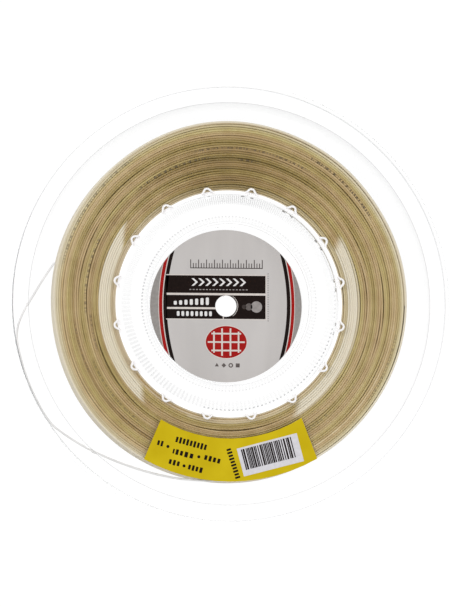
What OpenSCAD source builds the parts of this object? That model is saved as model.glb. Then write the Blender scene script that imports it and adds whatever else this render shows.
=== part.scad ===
// Flat reel of racket string: two clear flanges snapped onto a clear hub,
// a winding of string between them, and one loose turn resting in the rim.
// The reel lies flat on its rear rim. Z is the axis of the spindle hole.

/* [Flanges] */
// Outer radius of each flange
flange_r = 136; // [130:0.5:150]
// Clear width between the webs of the two flanges
string_gap = 16.4; // [14:0.2:22]
// Thickness of the web
web_t = 1.6; // [1.2:0.1:2.2]
// How far the rim band and the hub collar stand out from the web
rim_rise = 2.6; // [2.2:0.1:4]
// Width of the raised band, inside the turned edge
band_w = 9.8; // [7:0.2:12]
// Thickness of the turned edge
lip_t = 2.6; // [1.6:0.1:3.2]
// Open gap between the turned edges of the two flanges
lip_gap = 10; // [7:0.5:12]
// Radius of the rounding where the band turns into the edge
edge_round = 1.5; // [0.6:0.1:1.5]
// Width of the two string notches in the front edge
notch_w = 3.2; // [2:0.1:4]
// Directions of the two notches
notch_turns = [194.5, 211]; // [0:0.5:360]

/* [Hub] */
// Radius of the large opening in each flange
opening_r = 49.2; // [42:0.2:54]
// Flat top of the collar round the opening
collar_top = 1.2; // [0.6:0.1:2]
// Width of the collar's sloped side
collar_slope = 3.4; // [2:0.1:5]
// Outer radius of the drum that the string is wound on
drum_r = 69.3; // [65:0.1:74]
// Wall of the drum
drum_t = 1.3; // [1:0.1:2]
// Thickness of the hub's plate and of its sunk floor
plate_t = 1.6; // [1.2:0.1:2]
// How far the floor is sunk below the plate
floor_drop = 2.4; // [1.4:0.1:2.4]
// Wall of the ring between plate and floor
spigot_t = 1.4; // [1:0.1:2]
// Clearance of that ring in the rear opening
spigot_gap = 0.4; // [0.2:0.05:0.6]
// Radius of the spindle hole, for a 12.7 mm rod
bore_r = 6.4; // [6:0.05:8]

/* [Claws] */
// Number of claws at each end of the drum
claw_n = 16; // [8:1:20]
// Width of a claw's tongue
tongue_w = 3.2; // [2.4:0.1:4]
// Width of a claw's head at its foot
head_w = 4.6; // [4.2:0.1:6]
// How far the head reaches out past the drum
head_reach = 2.4; // [1.6:0.1:2.8]
// Radius of the head's round tip
head_tip_r = 1.3; // [0.8:0.1:1.5]
// Thickness of the head
head_t = 1.4; // [0.8:0.1:1.4]
// How far a tongue's faces lie inside the faces of the drum's wall
tongue_inset = 0.1; // [0.05:0.05:0.3]
// Clearance of a tongue in its window
window_gap = 0.2; // [0.1:0.05:0.4]

/* [String] */
// Diameter of the string
string_d = 1.3; // [1.15:0.05:1.4]
// Outer radius of the winding
wind_r = 109.2; // [95:0.2:118]
// Clearance between the winding and each web
side_gap = 0.35; // [0.2:0.05:0.6]
// Clearance between the winding and the drum
drum_gap = 0.2; // [0.1:0.05:0.5]
// Least gap between neighbouring turns of the outer layer
turn_gap = 0.45; // [0.42:0.01:0.7]
// Number of turns shown on each flat side of the winding
side_turns = 4; // [2:1:6]

/* [Labels] */
// Thickness of both labels
label_t = 0.2; // [0.1:0.05:0.3]
// Bare edge left round the centre label
label_margin = 0.6; // [0.2:0.1:3]
// Clearance of the centre label's hole round the spindle hole
label_bore_gap = 0.1; // [0.05:0.05:1]
// Bare web left between the size label and the curve of the rim
size_label_gap = 11.8; // [2:0.2:18]
// Radial height of the size label
size_label_h = 26.4; // [15:0.2:28]
// Where the size label's inner corners lie
size_label_turns_in = [239.5, 302.6]; // [0:0.1:360]
// Where the size label's outer corners lie
size_label_turns_out = [241.3, 299.8]; // [0:0.1:360]

/* [Hidden] */

round_fn = 180;                 // facets of a full turn in the preview
arc_steps = 2;                  // steps in each rounding of a flange
tip_steps = 4;                  // steps round the tip of a claw's head
label_steps = 12;               // steps along each long edge of the size label
cut = 0.5;                      // how far a cutter runs past what it cuts
clear_plastic = [0.93, 0.95, 0.96, 0.45];
string_colour = [0.66, 0.57, 0.41];
label_silver = [0.76, 0.75, 0.74];
label_yellow = [0.8, 0.71, 0.07];

// Heights, from the rear rim up
rear_web_in = rim_rise + web_t;                 // inner face of the rear web
front_web_in = rear_web_in + string_gap;        // inner face of the front web
front_web_out = front_web_in + web_t;
reel_w = string_gap + 2 * (web_t + rim_rise);
lip_drop = (string_gap - lip_gap) / 2;          // turned edge below its web

// Radii
lip_in_r = flange_r - lip_t;
band_r = lip_in_r - band_w;
web_end_r = band_r - rim_rise;                  // where the web starts to curve up
size_label_out = web_end_r - size_label_gap;
size_label_in = size_label_out - size_label_h;
collar_foot_r = opening_r + collar_top + collar_slope;
drum_in_r = drum_r - drum_t;
spigot_r = opening_r - spigot_gap;
cup_r = spigot_r - spigot_t;
window_out_r = drum_r + window_gap;
window_in_r = drum_in_r - head_reach;
floor_top = rear_web_in + plate_t - floor_drop;

// Winding
wind_low = rear_web_in + side_gap;
wind_high = front_web_in - side_gap;
wind_w = wind_high - wind_low;
layer_r = wind_r - string_d / 2;                // centre of the outer layer
loop_rings = 24;
tube_sides = 6;
turns = floor((wind_w - string_d) / (string_d + turn_gap));
pitch = (wind_w - string_d) / turns;
core_gap = 0.1;                                 // between the core and the turns round it
core_r = layer_r * cos(180 / loop_rings) - string_d / 2 - core_gap;
core_low = wind_low + string_d + core_gap;
core_high = wind_high - string_d - core_gap;
side_in_r = (drum_r + drum_gap + string_d / 2) / cos(180 / loop_rings);
side_pitch = (layer_r - side_in_r) / (side_turns + 1);
last_turn = 270;                                // direction where the string leaves

// Loose turn: leaves the winding, lies along the turned edge, tucks back in
tail_sides = 8;
tail_steps = 3;                                 // rings for each stretch of the route
tail_route = [
    [-1.3, -108.55, 19.6], [-10, -108.6, 19.6], [-20, -108.3, 19.5], [-32, -107.2, 19.3],
    [-43, -105.1, 19.2], [-53, -102.5, 19.1], [-62, -99.6, 19], [-70.5, -96.5, 19],
    [-78.5, -93.2, 19], [-86.5, -89.4, 19.1], [-94, -85.2, 19.2], [-101.5, -80.3, 19.3],
    [-108, -75.3, 19.4], [-113.5, -68.2, 19.5], [-118, -60.1, 19.5], [-122, -51.6, 19.5],
    [-125.5, -42.3, 19.5], [-128.2, -33, 19.5], [-130, -24.5, 19.5], [-130, -16.5, 19.5],
    [-127.8, -9, 19.4], [-124.5, -2.5, 19.3], [-120.8, 3.5, 19.2], [-117.2, 9.5, 19.1],
    [-113.8, 15, 19], [-110.4, 20.2, 19], [-107.2, 24.6, 19]
];

// ---- helpers ----

// Points of a circular arc about (x, z), from one direction to another
function arc(x, z, r, a0, a1, steps = arc_steps) =
    [for (i = [0:steps]) let (a = a0 + (a1 - a0) * i / steps) [x + r * cos(a), z + r * sin(a)]];

// Ring of a tube: a regular polygon square to the direction d at point p
function ring(p, d, r, sides) =
    let (side = cross(d, [0, 0, 1]), s = side / norm(side), u = cross(s, d))
    [for (k = [0:sides - 1]) let (a = 360 * k / sides) p + r * (cos(a) * s + sin(a) * u)];

// Direction of a path at its i-th point
function heading(path, i) =
    let (a = path[max(i - 1, 0)], b = path[min(i + 1, len(path) - 1)]) (b - a) / norm(b - a);

// Smooth point between b and c of four route points
function blend(a, b, c, d, t) =
    0.5 * (2 * b + (c - a) * t + (2 * a - 5 * b + 4 * c - d) * t * t
           + (3 * b - a - 3 * c + d) * t * t * t);

// Route points joined by a smooth curve, with equal steps in each stretch
function smooth(route, steps) =
    let (n = len(route))
    concat([for (i = [0:n - 2], s = [0:steps - 1])
                blend(route[max(i - 1, 0)], route[i], route[i + 1], route[min(i + 2, n - 1)],
                      s / steps)],
           [route[n - 1]]);

function path_length(path) =
    sum_to([for (i = [1:len(path) - 1]) norm(path[i] - path[i - 1])]);
function sum_to(v, i = 0) = i == len(v) ? 0 : v[i] + sum_to(v, i + 1);

module tube(path, r, sides) {
    n = len(path);
    points = [for (i = [0:n - 1]) each ring(path[i], heading(path, i), r, sides)];
    walls = [for (i = [0:n - 2], k = [0:sides - 1])
        let (a = i * sides + k, b = i * sides + (k + 1) % sides)
        each [[a, a + sides, b], [b, a + sides, b + sides]]];
    first = [for (k = [1:sides - 2]) [0, k, k + 1]];
    last_ring = (n - 1) * sides;
    last = [for (k = [1:sides - 2]) [last_ring, last_ring + k + 1, last_ring + k]];
    polyhedron(points, concat(first, walls, last));
}

module each_claw() {
    for (k = [0:claw_n - 1]) rotate([0, 0, 360 * (k + 0.5) / claw_n]) children();
}

// ---- flanges ----

// Half section of a flange, its inner face on z = 0 and its outer side up. The web
// curves up into the raised band, and the band turns down at the edge.
module flange_section() {
    top = web_t + rim_rise;
    under_r = rim_rise + web_t;                 // both curves have their centre at the top
    under_end = -asin(web_t / under_r);
    polygon(concat(
        [[opening_r, 0], [opening_r, top], [opening_r + collar_top, top], [collar_foot_r, web_t]],
        arc(web_end_r, top, rim_rise, -90, 0),
        arc(flange_r - edge_round, top - edge_round, edge_round, 90, 0),
        [[flange_r, -lip_drop], [lip_in_r, -lip_drop], [lip_in_r, top - web_t]],
        arc(web_end_r, top, under_r, under_end, -90)));
}

module flange_ring() {
    difference() {
        rotate_extrude($fn = round_fn) flange_section();
        each_claw() translate([window_in_r, -tongue_w / 2 - window_gap, -cut])
            cube([window_out_r - window_in_r, tongue_w + 2 * window_gap, web_t + 2 * cut]);
    }
}

module front_flange() {
    color(clear_plastic) translate([0, 0, front_web_in]) difference() {
        flange_ring();
        for (turn = notch_turns) rotate([0, 0, turn])
            translate([lip_in_r - cut, -notch_w / 2, -lip_drop - cut])
                cube([lip_t + 2 * cut, notch_w, lip_drop + cut]);
    }
}

module rear_flange() {
    color(clear_plastic) translate([0, 0, rear_web_in]) mirror([0, 0, 1]) flange_ring();
}

// ---- hub ----

// Outline of a claw's head: wide at its foot, with sides that lean in to a round tip
module head_outline() {
    tip_x = drum_r + head_reach - head_tip_r;
    side_turn = 75;                             // where the round tip meets the sides
    foot_x = drum_in_r + drum_t / 2;
    polygon(concat(
        [[foot_x, -head_w / 2], [drum_r, -head_w / 2]],
        arc(tip_x, 0, head_tip_r, -side_turn, side_turn, tip_steps),
        [[drum_r, head_w / 2], [foot_x, head_w / 2]]));
}

// One claw above z = 0, the inner face of the web that it holds. Its tongue stands on
// the end of the drum's wall and is a little thinner.
module claw() {
    translate([drum_in_r + tongue_inset, -tongue_w / 2, -cut])
        cube([drum_t - 2 * tongue_inset, tongue_w, web_t + head_t + cut]);
    translate([0, 0, web_t]) linear_extrude(head_t) head_outline();
}

module hub_section() {
    plate_top = rear_web_in + plate_t;
    polygon([[bore_r, floor_top - plate_t], [spigot_r, floor_top - plate_t],
             [spigot_r, rear_web_in], [drum_r, rear_web_in], [drum_r, front_web_in],
             [drum_in_r, front_web_in], [drum_in_r, plate_top], [cup_r, plate_top],
             [cup_r, floor_top], [bore_r, floor_top]]);
}

module hub_drum() {
    color(clear_plastic) {
        rotate_extrude($fn = round_fn) hub_section();
        translate([0, 0, front_web_in]) each_claw() claw();
        translate([0, 0, rear_web_in]) mirror([0, 0, 1]) each_claw() claw();
    }
}

// ---- labels ----

module centre_label() {
    color(label_silver) translate([0, 0, floor_top]) difference() {
        cylinder(r = cup_r - label_margin, h = label_t, $fn = round_fn);
        translate([0, 0, -cut])
            cylinder(r = bore_r + label_bore_gap, h = label_t + 2 * cut, $fn = round_fn);
    }
}

module size_label() {
    color(label_yellow) translate([0, 0, front_web_out]) linear_extrude(label_t)
        polygon(concat(
            arc(0, 0, size_label_in, size_label_turns_in[0], size_label_turns_in[1], label_steps),
            arc(0, 0, size_label_out, size_label_turns_out[1], size_label_turns_out[0],
                label_steps)));
}

// ---- string ----

// The inner layers of the winding, as one plain ring inside the turns that show
module string_core() {
    core_w = core_high - core_low;
    color(string_colour) translate([0, 0, core_low]) difference() {
        cylinder(r = core_r, h = core_w, $fn = round_fn);
        translate([0, 0, -cut])
            cylinder(r = drum_r + drum_gap, h = core_w + 2 * cut, $fn = round_fn);
    }
}

// Centre line of the outer layer: a helix that climbs clockwise to the front
function layer_point(i) =
    let (a = last_turn - 360 * i / loop_rings)
    [layer_r * cos(a), layer_r * sin(a), wind_low + string_d / 2 + pitch * i / loop_rings];
function layer_way(a) = [sin(a), -cos(a), 0];
layer_loops = [for (i = [0:turns * loop_rings]) layer_point(i)];
layer_path = concat([layer_loops[0] - string_d * layer_way(last_turn)], layer_loops,
                    [layer_loops[len(layer_loops) - 1] + string_d * layer_way(last_turn)]);

module string_winding() {
    color(string_colour) tube(layer_path, string_d / 2, tube_sides);
}

// Centre line of the turns on a flat side: a spiral that widens clockwise at height z
function side_path(z) =
    [for (i = [0:side_turns * loop_rings])
        let (a = last_turn - 360 * i / loop_rings, r = side_in_r + side_pitch * i / loop_rings)
        [r * cos(a), r * sin(a), z]];
front_side_path = side_path(wind_high - string_d / 2);
rear_side_path = side_path(wind_low + string_d / 2);

module string_front_turns() {
    color(string_colour) tube(front_side_path, string_d / 2, tube_sides);
}

module string_rear_turns() {
    color(string_colour) tube(rear_side_path, string_d / 2, tube_sides);
}

module string_tail() {
    color(string_colour) tube(smooth(tail_route, tail_steps), string_d / 2, tail_sides);
}

// Least gap of a path of loops to itself, from the rings that are about one loop apart
half_loop = loop_rings / 2;
function least_gap(path) =
    min([for (i = [0:len(path) - 1 - half_loop],
              j = [i + half_loop:min(i + 3 * half_loop, len(path) - 1)])
         norm(path[i] - path[j])]) - string_d;
echo(outer_layer_turns = turns, pitch = pitch, least_gap = least_gap(layer_loops));
echo(side_turns = side_turns, pitch = side_pitch, front_gap = least_gap(front_side_path),
     rear_gap = least_gap(rear_side_path));
echo(tail_length = path_length(smooth(tail_route, tail_steps)),
     tail_rings = len(smooth(tail_route, tail_steps)));
echo(reel_width = reel_w, flange_diameter = 2 * flange_r);

front_flange();
rear_flange();
hub_drum();
centre_label();
size_label();
string_core();
string_winding();
string_front_turns();
string_rear_turns();
string_tail();
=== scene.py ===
import math

import bpy
import numpy as np
from mathutils import Matrix, Vector


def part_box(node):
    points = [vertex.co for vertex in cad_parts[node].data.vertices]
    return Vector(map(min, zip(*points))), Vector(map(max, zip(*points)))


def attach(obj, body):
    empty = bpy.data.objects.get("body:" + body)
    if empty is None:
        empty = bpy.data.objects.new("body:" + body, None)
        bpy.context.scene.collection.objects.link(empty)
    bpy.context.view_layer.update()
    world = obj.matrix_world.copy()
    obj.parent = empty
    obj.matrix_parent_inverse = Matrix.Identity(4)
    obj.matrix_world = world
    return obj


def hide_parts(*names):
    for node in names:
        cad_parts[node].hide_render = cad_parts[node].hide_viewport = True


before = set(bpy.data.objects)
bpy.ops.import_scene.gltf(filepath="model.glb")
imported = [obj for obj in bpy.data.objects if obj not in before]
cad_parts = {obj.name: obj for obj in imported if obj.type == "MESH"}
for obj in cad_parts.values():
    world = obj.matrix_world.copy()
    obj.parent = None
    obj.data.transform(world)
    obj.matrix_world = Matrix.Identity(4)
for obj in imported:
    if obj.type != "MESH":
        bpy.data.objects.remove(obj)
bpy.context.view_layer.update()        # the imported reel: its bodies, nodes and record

scene = bpy.context.scene
scene.view_settings.view_transform = "Standard"
perMetre = 1000          # millimetres in a metre: every size below is in millimetres


def extent(node):
    # lowest and highest corner of a CAD node, in millimetres
    low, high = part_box(node)
    return np.array(low) * perMetre, np.array(high) * perMetre


def linear(hexText):
    # sRGB hex to linear light, channel by channel, with full alpha
    channels = np.array([int(hexText[i:i + 2], 16) for i in (1, 3, 5)]) / 255
    light = np.where(channels <= 0.04045, channels / 12.92, ((channels + 0.055) / 1.055) ** 2.4)
    return (*light, 1.0)


def addNode(tree, kind, inputs=None, stops=(), **settings):
    # a shader node with its settings; an input is a value, a socket or a node whose first
    # output is meant, and stops are the (position, hex) pairs of a colour ramp
    node = tree.nodes.new("ShaderNode" + kind)
    for name, value in settings.items():
        setattr(node, name, value)
    for name, value in (inputs or {}).items():
        if isinstance(value, bpy.types.Node):
            value = value.outputs[0]
        if isinstance(value, bpy.types.NodeSocket):
            tree.links.new(value, node.inputs[name])
        else:
            node.inputs[name].default_value = value
    if stops:
        elements = node.color_ramp.elements
        while len(elements) < len(stops):
            elements.new(0.5)
        for element, (position, hexText) in zip(elements, stops):
            element.position, element.color = position, linear(hexText)
    return node


def newMaterial(name):
    # an empty material and the tree that its nodes go in
    material = bpy.data.materials.new(name)
    material.use_nodes = True
    material.node_tree.nodes.clear()
    return material, material.node_tree


def addThing(name, data):
    # an object of the scene, at the origin
    thing = bpy.data.objects.new(name, data)
    scene.collection.objects.link(thing)
    return thing


def addMesh(name, points, faces):
    # an object from points in millimetres
    mesh = bpy.data.meshes.new(name)
    mesh.from_pydata((np.asarray(points).reshape(-1, 3) / perMetre).tolist(), [], faces)
    return addThing(name, mesh)


def addPiece(name, points, faces, material, smoothAngle=35, attributes=None):
    # a piece of the reel; it rides on the reel's one body
    piece = addMesh(name, points, faces)
    mesh = piece.data
    mesh.shade_smooth()
    mesh.set_sharp_from_angle(angle=math.radians(smoothAngle))
    for label, values in (attributes or {}).items():
        mesh.attributes.new(label, "FLOAT", "POINT").data.foreach_set(
            "value", np.asarray(values, np.float32).ravel())
    mesh.materials.append(material)
    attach(piece, "root")
    return piece


def gridFaces(rows, columns, start=0, closeRows=False):
    # quads of a grid of points whose columns close round, and its rows too if wanted
    row = np.arange(rows if closeRows else rows - 1)[:, None]
    column = np.arange(columns)[None, :]
    nextRow, nextColumn = (row + 1) % rows, (column + 1) % columns
    corners = [row * columns + column, nextRow * columns + column,
               nextRow * columns + nextColumn, row * columns + nextColumn]
    return np.stack(np.broadcast_arrays(*corners), -1) + start


def stackFaces(rows, columns, start=0, way=1):
    # faces of a stack of rings that its first and last ring close
    first = start + np.arange(columns)
    faces = gridFaces(rows, columns, start)[..., ::-way].reshape(-1, 4).tolist()
    return faces + [first[::-way].tolist(), (first + (rows - 1) * columns)[::way].tolist()]


def ringFaces(rows, columns, way=1):
    # faces of a closed profile that goes all the way round
    return gridFaces(rows, columns, closeRows=True)[..., ::way].reshape(-1, 4).tolist()


def revolvePoints(profile, steps):
    # a profile of (radius, height) carried round Z: rows follow the profile, columns the turn
    turn = np.arange(steps) * 2 * math.pi / steps
    radius, height = profile[:, 0:1], profile[:, 1:2]
    return np.stack([radius * np.cos(turn), radius * np.sin(turn),
                     np.broadcast_to(height, (len(profile), steps))], -1)


def arcPoints(x, z, radius, start, end, steps):
    # points on a circle about (x, z) between two directions
    turn = np.radians(np.linspace(start, end, steps + 1))
    return np.stack([x + radius * np.cos(turn), z + radius * np.sin(turn)], 1)


def roundedLoop(corners, steps=3):
    # a closed outline of (x, z, rounding); each rounded corner is a quadratic curve that
    # leaves one side and joins the next at the rounding's distance from the corner
    corners = np.asarray(corners, float)
    points = []
    for i, (x, z, rounding) in enumerate(corners):
        here = np.array([x, z])
        if rounding == 0:
            points.append(here[None])
            continue
        before, after = corners[i - 1, :2] - here, corners[(i + 1) % len(corners), :2] - here
        a = here + before / np.linalg.norm(before) * rounding
        b = here + after / np.linalg.norm(after) * rounding
        t = np.linspace(0, 1, steps + 1)[:, None]
        points.append((1 - t) ** 2 * a + 2 * t * (1 - t) * here + t ** 2 * b)
    return np.concatenate(points)


def corner(points, rounding=0.0):
    # outline points with one rounding for all of them
    points = np.atleast_2d(points)
    return np.column_stack([points, np.full(len(points), rounding)])


def section(inner, outer, low, high):
    # a rectangle as the section of a ring, whose faces then look outwards
    return np.array([(inner, low), (inner, high), (outer, high), (outer, low)])


def nearest(profile, x, z):
    # row of the profile's point closest to (x, z)
    return int(np.argmin(np.hypot(profile[:, 0] - x, profile[:, 1] - z)))


def apart(direction, around):
    # signed difference of two directions in degrees, from -180 to 180
    return (around - direction + 180) % 360 - 180


def humps(degrees, rows):
    # sum of Gaussian humps round the reel, as (direction, spread, height)
    return sum(height * np.exp(-(apart(direction, degrees) / spread) ** 2)
               for direction, spread, height in rows)


def between(value, low, high, soft):
    # 1 inside a range, 0 outside it, with soft ends
    return np.clip((value - low) / soft + 0.5, 0, 1) * np.clip((high - value) / soft + 0.5, 0, 1)


def tubeGrid(path, radius, sides, wide=1.0):
    # rings of a tube along a path, each square to the path's direction there; wide stretches
    # them sideways, away from a round section. They turn clockwise about that
    # direction, so a stack of them takes way -1 to face outwards
    ahead = np.gradient(path, axis=0)
    ahead /= np.linalg.norm(ahead, axis=1, keepdims=True)
    side = np.cross(ahead, [0.0, 0.0, 1.0])
    side /= np.linalg.norm(side, axis=1, keepdims=True)
    up = np.cross(side, ahead)
    turn = np.arange(sides) * 2 * math.pi / sides
    return path[:, None] + radius * (wide * np.cos(turn)[None, :, None] * side[:, None]
                                     + np.sin(turn)[None, :, None] * up[:, None])


def addTube(name, path, radius, sides, material, attributes=None, wide=1.0):
    # a closed tube along a path, with its length in metres kept on it as "along"
    steps = np.linalg.norm(np.diff(path, axis=0), axis=1)
    along = np.concatenate([[0], np.cumsum(steps)]) / perMetre
    spread = {"along": along, **(attributes or {})}
    return addPiece(name, tubeGrid(path, radius, sides, wide),
                    stackFaces(len(path), sides, way=-1), material, 60,
                    {key: np.repeat(values, sides) for key, values in spread.items()})


cameraView = {
    "target": (-1.16, 0.06, 23.5),     # point of the reel that it looks at
    "distance": 6000,                  # far off, so that the round rims stay round
    "tilt": 7.57,                      # away from the reel's axis, in degrees
    "towards": 36,                     # the axis seen from the camera leans this way
    "lens": 580.7,
}


def makeCamera(view):
    # the camera looks along the reel's axis, a little from the lower left, with +Y upwards
    tilt, towards = math.radians(view["tilt"]), math.radians(view["towards"])
    back = Vector((-math.sin(tilt) * math.cos(towards), -math.sin(tilt) * math.sin(towards),
                   math.cos(tilt)))
    up = (Vector((0, 1, 0)) - back * back.y).normalized()
    right = up.cross(back)
    place = (Vector(view["target"]) + back * view["distance"]) / perMetre
    data = bpy.data.cameras.new("camera")
    data.lens = view["lens"]
    scene.camera = addThing("camera", data)
    turn = Matrix((right, up, back)).transposed().to_4x4()
    scene.camera.matrix_world = Matrix.Translation(place) @ turn


makeCamera(cameraView)
print("camera made")


def clearPlastic():
    # crystal polystyrene, injection moulded: water clear and glossy; a wall seen aslant mirrors
    # the white around it. "line" is painted shade: it greys the plastic in thin lines at inner
    # corners and in dots and strokes round the flange. Light for shading passes straight through
    # it, and so do a ray that has been mirrored and, on a "rear" wall, one that has come through
    # the wall in front. The index is far below polystyrene's 1.59: with that the rims would draw
    # dark lines
    material, tree = newMaterial("crystalPolystyrene")
    facing = addNode(tree, "LayerWeight", {"Blend": 0.5}).outputs["Facing"]
    tint = addNode(tree, "ValToRGB", {"Fac": facing}, [
        (0.0, "#ffffff"), (0.25, "#fcfcfc"), (0.7, "#f8f8f8"), (1.0, "#f5f6f7")])
    line, rear = (addNode(tree, "Attribute", attribute_name=name).outputs["Fac"]
                  for name in ("line", "rear"))
    # painted shade: "line" mixes the plastic's tint towards grey
    lined = addNode(tree, "Mix", {0: line, 6: tint, 7: linear("#717274")},
                    data_type="RGBA").outputs[2]
    glass = addNode(tree, "BsdfPrincipled", {"Base Color": lined, "Roughness": 0.0, "IOR": 1.05,
                                             "Transmission Weight": 1.0})
    mirror = addNode(tree, "BsdfAnisotropic", {"Color": lined, "Roughness": 0.0})
    aslant = addNode(tree, "MapRange", {0: facing, 1: 0.8, 2: 0.88, 3: 0.0, 4: 0.9})
    plastic = addNode(tree, "MixShader", {"Fac": aslant, 1: glass, 2: mirror})
    ray = addNode(tree, "LightPath").outputs
    bent = addNode(tree, "Math", {0: ray["Transmission Depth"], 1: 1.5}, operation="GREATER_THAN")
    behind = addNode(tree, "Math", {0: bent, 1: rear}, operation="MULTIPLY")
    thrown = addNode(tree, "Math", {0: ray["Glossy Depth"], 1: 0.5}, operation="GREATER_THAN")
    passing = ray["Is Shadow Ray"]
    for reason in (ray["Is Diffuse Ray"], behind, thrown):
        passing = addNode(tree, "Math", {0: passing, 1: reason}, operation="MAXIMUM")
    through = addNode(tree, "BsdfTransparent", {"Color": linear("#ffffff")})
    mixed = addNode(tree, "MixShader", {"Fac": passing, 1: plastic, 2: through})
    addNode(tree, "OutputMaterial", {"Surface": mixed})
    return material


def mottled(name, patch, detail, dark, light, finish, stretch=1.0):
    # a surface whose tone drifts between two colours, in soft patches of a size in millimetres
    material, tree = newMaterial(name)
    place = addNode(tree, "TexCoord").outputs["Object"]
    drawn = addNode(tree, "Mapping", {"Vector": place, "Scale": (1.0, stretch, 1.0)})
    patches = addNode(tree, "TexNoise", {"Vector": drawn, "Scale": perMetre / patch,
                                         "Detail": detail})
    colour = addNode(tree, "ValToRGB", {"Fac": patches}, [(0.3, dark), (0.7, light)])
    surface = addNode(tree, "BsdfPrincipled", {"Base Color": colour, **finish})
    addNode(tree, "OutputMaterial", {"Surface": surface})
    return material


def paintedLightPlastic(name, glow):
    # white plastic of painted light: a white that stands in for the clear plastic's edges where
    # they show bright, and "glow" is painted light that it gives out, for the light that the clear
    # wall carries to it. Its white drifts in patches of 0.625 mm
    return mottled(name, 0.625, 3.0, "#f7f3f3", "#ffffff", {
        "Roughness": 0.3, "Emission Color": linear("#ffffff"), "Emission Strength": glow})


def woundNylon():
    # multifilament nylon string, extruded and coated: honey coloured where it lies in layers,
    # with a soft sheen, and changes of tone and hue from turn to turn, in patches of 9 mm;
    # "printed" marks the turns that carry the gauge print, which shows as rows of short dark
    # dashes: the noise along the string changes 11 times in 20 mm
    material, tree = newMaterial("multifilamentNylon")
    tone, pale, olive, printed, along = (
        addNode(tree, "Attribute", attribute_name=name).outputs["Fac"]
        for name in ("tone", "pale", "olive", "printed", "along"))
    place = addNode(tree, "TexCoord").outputs["Object"]
    patches = addNode(tree, "TexNoise", {"Vector": place, "Scale": perMetre / 9.09,
                                         "Detail": 3.0, "Roughness": 0.6})
    uneven = addNode(tree, "MapRange", {0: patches, 1: 0.3, 2: 0.7, 3: -0.09, 4: 0.09})
    level = addNode(tree, "Math", {0: tone, 1: uneven}, operation="ADD")
    colour = addNode(tree, "ValToRGB", {"Fac": level}, [
        (0.0, "#7b6338"), (0.3, "#967c4d"), (0.55, "#b0966a"), (0.8, "#c1aa7e"),
        (1.0, "#d2bf98")]).outputs["Color"]
    greener = addNode(tree, "Mix", {0: 1.0, 6: colour, 7: linear("#f2f9da")},
                      data_type="RGBA", blend_type="MULTIPLY").outputs[2]
    dashes = addNode(tree, "TexNoise", {"W": along, "Scale": 11 / 20 * perMetre, "Detail": 1.0},
                     noise_dimensions="1D")
    inked = addNode(tree, "MapRange", {0: dashes, 1: 0.46, 2: 0.54, 3: 0.0, 4: 0.8})
    ink = addNode(tree, "Math", {0: inked, 1: printed}, operation="MULTIPLY")
    # pale mixes in a paler cream, mostly painted light
    for share, hue in ((olive, greener), (pale, linear("#e2dac6")), (ink, linear("#3a2c1c"))):
        colour = addNode(tree, "Mix", {0: share, 6: colour, 7: hue}, data_type="RGBA").outputs[2]
    nylon = addNode(tree, "BsdfPrincipled", {"Base Color": colour, "Roughness": 0.42,
                                             "IOR": 1.53})
    addNode(tree, "OutputMaterial", {"Surface": nylon})
    return material


def singleNylon():
    # the same string as a single strand: it lets light through, so it is pale grey, and its
    # tone drifts along it in stretches of 12.5 mm
    material, tree = newMaterial("singleNylonStrand")
    along = addNode(tree, "Attribute", attribute_name="along").outputs["Fac"]
    slow = addNode(tree, "TexNoise", {"W": along, "Scale": perMetre / 12.5, "Detail": 2.0},
                   noise_dimensions="1D")
    colour = addNode(tree, "ValToRGB", {"Fac": slow}, [(0.3, "#dedddc"), (0.7, "#e9e8e7")])
    nylon = addNode(tree, "BsdfPrincipled", {"Base Color": colour, "Roughness": 0.35,
                                             "IOR": 1.53})
    addNode(tree, "OutputMaterial", {"Surface": nylon})
    return material


crystal = clearPlastic()
# painted highlight for the bright edges round the claws, and painted glow for the drum's bright edge
# under the front web
paintedHighlight = paintedLightPlastic("paintedHighlightPolystyrene", 0.0)
paintedGlow = paintedLightPlastic("paintedGlowPolystyrene", 0.15)
honeyNylon = woundNylon()
paleNylon = singleNylon()
# the layers under the surface of the winding, coloured darker than the string: painted shade
# where little light reaches
heartNylon = mottled("innerNylonLayers", 5, 2.0, "#6e5930", "#86703f", {"Roughness": 0.7})

looseTurn = {
    "diameter": 1.3,
    "sides": 10,
    "stepsPerStretch": 5,
    # from the winding, along the turned edge of the front flange and back in
    "route": [
        (-1.3, -108.55, 19.6), (-10, -108.6, 19.6), (-20, -108.3, 19.5), (-32, -107.2, 19.3),
        (-43, -105.1, 19.2), (-53, -102.5, 19.1), (-62, -99.6, 19), (-70.5, -96.5, 19),
        (-78.5, -93.2, 19), (-86.5, -89.4, 19.1), (-94, -85.2, 19.2), (-101.5, -80.3, 19.3),
        (-108, -75.3, 19.4), (-113.5, -68.2, 19.5), (-118, -60.1, 19.5), (-122, -51.6, 19.5),
        (-125.5, -42.3, 19.5), (-128.2, -33, 19.5), (-130, -24.5, 19.5), (-130, -16.5, 19.5),
        (-127.8, -9, 19.4), (-124.5, -2.5, 19.3), (-120.8, 3.5, 19.2), (-117.2, 9.5, 19.1),
        (-113.8, 15, 19), (-110.4, 20.2, 19), (-107.2, 24.6, 19),
    ],
}


def smoothRoute(route, steps):
    # cubic curve through the route's points, whose slope at each is that of its neighbours
    route = np.asarray(route, float)
    padded = np.concatenate([route[:1], route, route[-1:]])
    a, b, c, d = (padded[i:len(route) - 1 + i, None] for i in range(4))
    t = (np.arange(steps) / steps)[None, :, None]
    curve = 0.5 * (2 * b + (c - a) * t + (2 * a - 5 * b + 4 * c - d) * t ** 2
                   + (3 * b - a - 3 * c + d) * t ** 3)
    return np.concatenate([curve.reshape(-1, 3), route[-1:]])


def makeLooseTurn(v):
    # a round tube along the smoothed route
    path = smoothRoute(v["route"], v["stepsPerStretch"])
    piece = addTube("looseTurn", path, v["diameter"] / 2, v["sides"], paleNylon)
    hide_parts("string_tail")


makeLooseTurn(looseTurn)

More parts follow.
